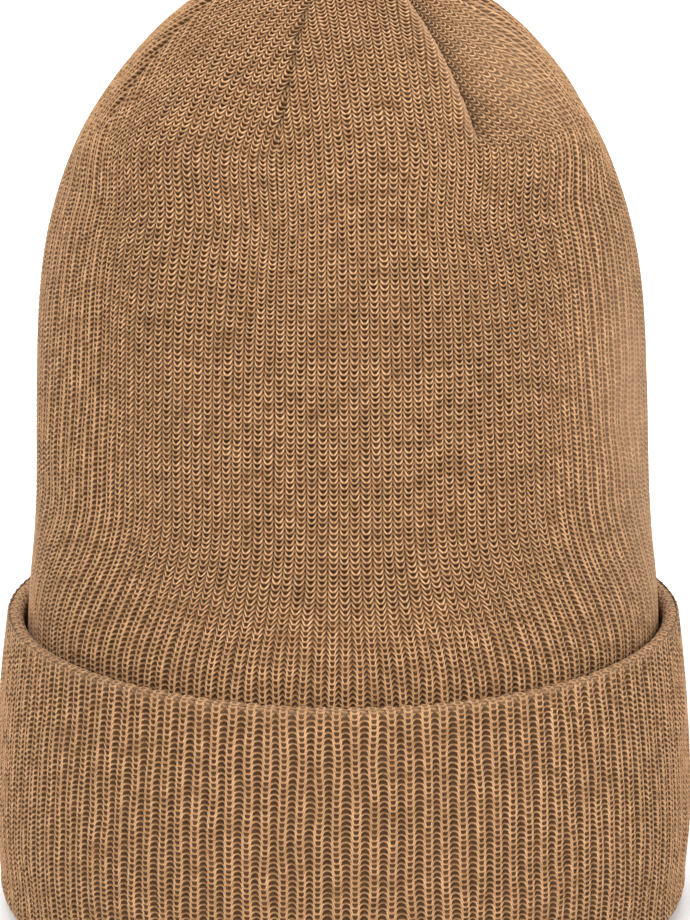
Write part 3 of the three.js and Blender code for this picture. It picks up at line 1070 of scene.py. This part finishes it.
def yarn_material(name, light, middle, dark, gap_shade_and_band_dark, smooth, even):
    """The knit's yarn. `light` is a painted highlight over the yarn's own tones `middle` and `dark`;
    the near-black colour is painted shade in the holes, valleys and folds; `smooth` is the pale
    colour of stretched knit, partly painted sheen and highlight. `even` is its colour seen from far
    off, towards which open ribs fade.
    """
    n = Nodes(name)
    parts = n.add("ShaderNodeSeparateXYZ")
    n.plug(n.add("ShaderNodeUVMap", uv_map="stitches").outputs[0], parts.inputs[0])
    rib, course = parts.outputs[0], parts.outputs[1]
    across, opened, loop, distance = yarn_distance(n, rib, course, n.attribute("pitch"))
    # painted highlight: the light colour laid over the yarn's own tone where the yarn would catch
    # the light
    painted_highlight = painted_yarn_highlight(n, rib, loop, across, opened, distance)
    tone = n.mix_colour(n.smooth(noise(n, 520.0), 0.35, 0.65), dark, middle)
    yarn = n.mix_colour(painted_highlight, tone, light)
    # painted shade: the near-black colour in the holes and valleys, where the yarn lies in shadow
    unshaded = unshaded_yarn(n, rib, course, loop, across, opened, distance)
    colour = n.mix_colour(unshaded, gap_shade_and_band_dark, yarn)
    colour = n.mix_colour(n.times(opened, SEEN_EVEN), colour, even)
    # pale smooth colour: stretched knit, and partly painted sheen at the sides and a painted
    # highlight on the raised dart edge
    taut_and_sheen = n.times(n.attribute("taut_and_sheen"), SMOOTH_AND_SHEEN_SHARE)
    colour = n.mix_colour(taut_and_sheen, colour, smooth)
    # painted shade beside the darts, deeper between the wales
    between = n.plus(n.times(n.smooth(across, 0.15, 0.42), 0.5), 0.4)
    colour = n.mix_colour(n.times(n.attribute("sunk_shade"), between), colour, gap_shade_and_band_dark)
    band = n.smooth(noise(n, 45.0, 2.0, (1.0, 1.0, 7.0)), 0.3, 0.7)
    colour = n.mix_colour(n.times(band, BAND_DARK), colour, gap_shade_and_band_dark)
    n.plug(colour, n.shader.inputs["Base Color"])
    yarn_bump(n, distance)
    n.finish(roughness=0.8, specular=0.12)
    n.shader.inputs["Sheen Weight"].default_value = 0.14
    n.shader.inputs["Sheen Roughness"].default_value = 0.3
    n.shader.inputs["Sheen Tint"].default_value = (1.0, 0.86, 0.70, 1.0)
    return n.material


def thread_material(name, light, dark):
    """Twisted yarn or thread: fine slanting plies, and lint."""
    n = Nodes(name)
    wave = n.add("ShaderNodeTexWave", wave_type="BANDS", bands_direction="DIAGONAL")
    n.plug(n.add("ShaderNodeTexCoord").outputs["Object"], wave.inputs["Vector"])
    wave.inputs["Scale"].default_value = 420.0
    wave.inputs["Distortion"].default_value = 3.0
    wave.inputs["Detail"].default_value = 2.0
    plies = wave.outputs["Fac"]
    lint = n.times(noise(n, 900.0), 0.4)
    share = n.plus(n.times(plies, 0.6), lint)
    n.plug(n.mix_colour(n.smooth(share, 0.2, 0.75), dark, light), n.shader.inputs["Base Color"])
    n.bump(plies, strength=0.5, distance=0.2 * MM)
    n.finish(roughness=0.75, specular=0.2)
    return n.material


TAPE = (0.82, 0.78, 0.70, 1)
TAPE_AGED = (0.70, 0.65, 0.56, 1)
TAPE_SHADE = (0.55, 0.5, 0.42, 1)  # mixed in by the weave


def tape_material():
    """Woven satin tape: fine crossing threads, without any print."""
    n = Nodes("satin_tape")
    where = n.add("ShaderNodeTexCoord").outputs["Object"]
    shares = []
    for direction, scale in (("X", 1500.0), ("Z", 900.0)):
        wave = n.add("ShaderNodeTexWave", wave_type="BANDS", bands_direction=direction)
        n.plug(where, wave.inputs["Vector"])
        wave.inputs["Scale"].default_value = scale
        wave.inputs["Distortion"].default_value = 0.4
        shares.append(wave.outputs["Fac"])
    weave = n.times(shares[0], shares[1])
    stain = n.smooth(noise(n, 120.0), 0.35, 0.75)
    pale = n.mix_colour(n.times(stain, 0.3), TAPE, TAPE_AGED)
    colour = n.mix_colour(n.times(weave, 0.35), pale, TAPE_SHADE)
    n.plug(colour, n.shader.inputs["Base Color"])
    n.bump(weave, strength=0.35, distance=0.1 * MM)
    n.finish(roughness=0.42, specular=0.4)
    return n.material


def plain_material(name, colour, roughness):
    n = Nodes(name)
    n.shader.inputs["Base Color"].default_value = colour
    n.shader.inputs["Roughness"].default_value = roughness
    return n.material


# Camera and light. Lengths here are metres.

CAMERA_LENS = 199.35
CAMERA_SENSOR = 36.0
CAMERA_TARGET = (0.0008, 0.0, 0.102)
CAMERA_ELEVATION = math.radians(14.5)
CAMERA_DISTANCE = 1.15
FLOOR_LEVEL = -0.3  # in millimetres, as is the next
FLOOR_REACH = 4000


def aim(obj, target):
    direction = Vector(np.array(target) - np.array(obj.location))
    obj.rotation_mode = "QUATERNION"
    obj.rotation_quaternion = direction.to_track_quat("-Z", "Y")


def make_camera():
    data = bpy.data.cameras.new("camera")
    data.lens = CAMERA_LENS
    data.sensor_width = CAMERA_SENSOR
    data.clip_start = 0.05
    data.clip_end = 20.0
    camera = bpy.data.objects.new("camera", data)
    bpy.context.scene.collection.objects.link(camera)
    camera.location = (
        CAMERA_TARGET[0],
        -CAMERA_DISTANCE * math.cos(CAMERA_ELEVATION),
        CAMERA_TARGET[2] + CAMERA_DISTANCE * math.sin(CAMERA_ELEVATION),
    )
    aim(camera, CAMERA_TARGET)
    bpy.context.scene.camera = camera


def add_area_light(name, location, size, power, target=(0, 0, 0.11)):
    data = bpy.data.lights.new(name, "AREA")
    data.shape = "DISK"
    data.size = size
    data.energy = power
    light = bpy.data.objects.new(name, data)
    light.location = location
    bpy.context.scene.collection.objects.link(light)
    aim(light, target)


def make_studio():
    add_area_light("key_light", (-0.5, -1.1, 1.1), 0.7, 14)
    add_area_light("fill_light", (0.9, -0.9, 0.7), 0.9, 8)
    add_area_light("top_light", (0.0, 0.3, 1.5), 1.0, 10)
    add_area_light("back_light", (0.0, 1.4, 0.9), 1.0, 8)
    world = bpy.data.worlds.new("studio")
    bpy.context.scene.world = world
    world.use_nodes = True
    background = world.node_tree.nodes["Background"]
    background.inputs["Color"].default_value = (1, 1, 1, 1)
    background.inputs["Strength"].default_value = 0.9
    corners = ((-1, -1), (1, -1), (1, 1), (-1, 1))
    points = [(x * FLOOR_REACH, y * FLOOR_REACH, FLOOR_LEVEL) for x, y in corners]
    floor = new_object("floor", points, [(0, 1, 2, 3)])
    floor.data.materials.append(plain_material("floor_white", (0.85, 0.85, 0.85, 1), 0.9))


# The pieces with their material, CAD nodes and motion

GORE_SHARE = 0.6  # of a gore's length, for a rectangle of the same area
CUFF_FACE_LENGTH = 62.0
CUFF_BACK_LENGTH = 57.0
RIM_BACK_LENGTH = 12.4


def finish_knit(piece, knit, ribs, length, *nodes):
    """What all sheets of knit share. The ribs and length, for the flat size of the loose knit, are
    not used.
    """
    piece.data.materials.append(knit)
    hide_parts(*nodes)


def add_walls(knit):
    below = WALL_FOOT
    above = (WALL.length - WALL_FOOT) * GORE_SHARE
    for gore, (wall, crown) in enumerate(make_wall()):
        finish_knit(wall, knit, RIBS_PER_GORE, below, "shell_tube")
        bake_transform(wall)
        finish_knit(crown, knit, RIBS_PER_GORE, above, f"crown_gore_{gore + 1}")
        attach(crown, "hat")
    for gore, lining in enumerate(make_lining()):
        nodes = ("lining_tube", f"lining_gore_{gore + 1}")
        finish_knit(lining, knit, RIBS_PER_GORE, below + above, *nodes)
        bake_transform(lining)


def add_cuff(knit):
    hem, faces, rim, back, rim_back = make_cuff()
    finish_knit(hem, knit, RIBS, HEM_LENGTH, "hem_fold")
    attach(hem, "hem")
    for face in faces:
        finish_knit(face, knit, RIBS / CUFF_PARTS, CUFF_FACE_LENGTH, "cuff_face")
        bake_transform(face)
    finish_knit(back, knit, RIBS, CUFF_BACK_LENGTH, "cuff_back")
    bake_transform(back)
    finish_knit(rim, knit, RIBS, RIM_LENGTH, "rim_fold_face")
    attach(rim, "rim")
    finish_knit(rim_back, knit, RIBS, RIM_BACK_LENGTH, "rim_fold_back")
    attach(rim_back, "rim")


def add_sewing(thread):
    for piece, node in make_sewing():
        piece.data.materials.append(thread)
        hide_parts(node)
        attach(piece, "hat")


def add_label(thread, tape):
    label = make_label()
    label.data.materials.append(tape)
    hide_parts("care_label")
    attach(label, "label")
    stitches = make_label_stitches()
    header = make_label_header()
    for piece, material, slot in ((stitches, thread, "sewing_thread"), (header, tape, "label_tape")):
        piece.data.materials.append(material)
        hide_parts("label_stitch")
        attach(piece, "hat")


def main():
    make_camera()
    make_studio()
    bpy.context.scene.view_settings.view_transform = "Standard"
    knit = yarn_material(
        "camel_rib",
        # painted highlight colour
        light=(0.76, 0.45, 0.235, 1),
        middle=(0.23, 0.113, 0.045, 1),
        dark=(0.15, 0.066, 0.024, 1),
        # painted shade colour for the holes, valleys and folds; it also darkens the faint bands
        gap_shade_and_band_dark=(0.010, 0.004, 0.001, 1),
        # pale colour of stretched knit, partly painted sheen
        smooth=(0.48, 0.285, 0.155, 1),
        even=(0.225, 0.115, 0.050, 1),
    )
    thread = thread_material("sewing_yarn", (0.47, 0.27, 0.13, 1), (0.13, 0.06, 0.024, 1))
    tape = tape_material()
    add_walls(knit)
    add_cuff(knit)
    add_sewing(thread)
    add_label(thread, tape)


main()
